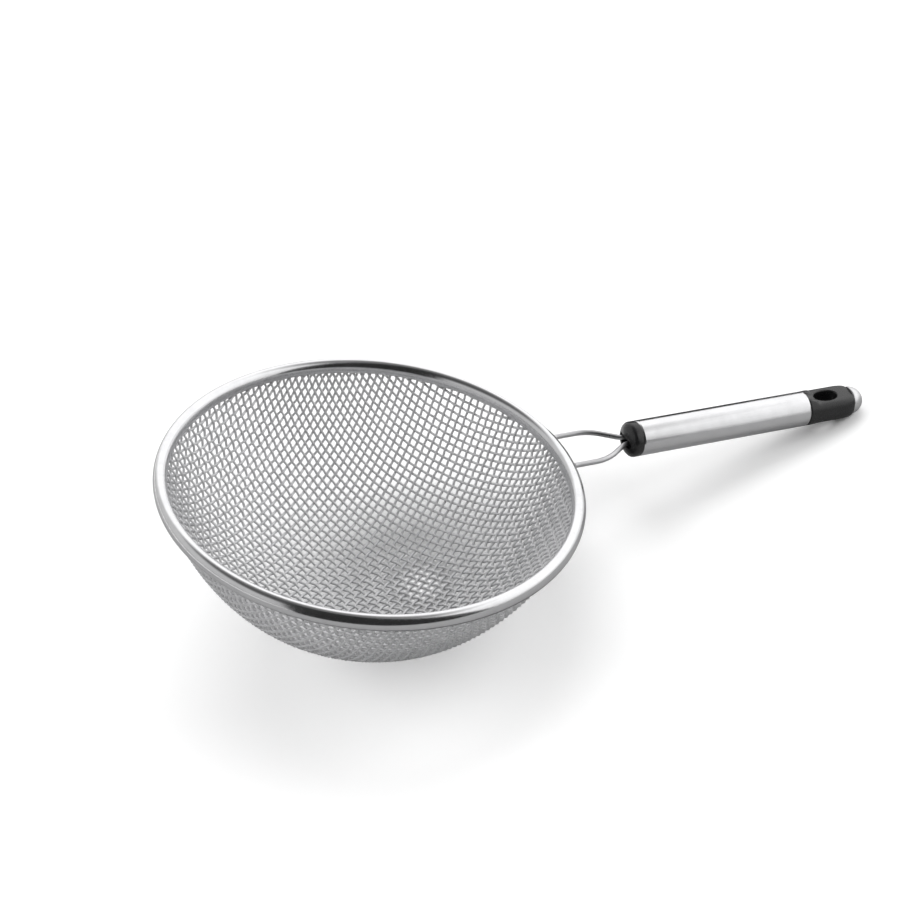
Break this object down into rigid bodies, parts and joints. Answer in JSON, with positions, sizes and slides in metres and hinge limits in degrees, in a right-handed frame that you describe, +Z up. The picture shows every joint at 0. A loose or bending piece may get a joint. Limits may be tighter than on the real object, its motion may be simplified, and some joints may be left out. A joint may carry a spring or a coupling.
{
  "type": "oil strainer",
  "caption": "Round-bottomed woven wire strainer bowl in a rolled steel rim, on a wire yoke and a tubular steel handle with black plastic ends and a hang hole.",
  "frame": {"origin": "on the table, under the middle of the strainer's box as it rests on its bowl and on the end of its handle", "axes": "+X from the bowl to the end of the handle, +Y across, +Z up from the table"},
  "size_m": [0.352, 0.1998, 0.1023],
  "materials": {
    "woven_wire": "bright drawn stainless wire, plain weave",
    "polished_steel": "polished stainless steel",
    "yoke_steel": "bright drawn stainless wire",
    "tube_steel": "satin polished stainless tube",
    "black_plastic": "fine satin moulded black plastic"
  },
  "bodies": {
    "root": {"mesh_bowl": "woven_wire", "rim_hoop": "polished_steel", "hem_wire": "woven_wire", "yoke_wire": "yoke_steel", "front_plug": "black_plastic", "handle_tube": "tube_steel", "end_cap": "black_plastic", "end_button": "polished_steel"}
  },
  "joints": []
}
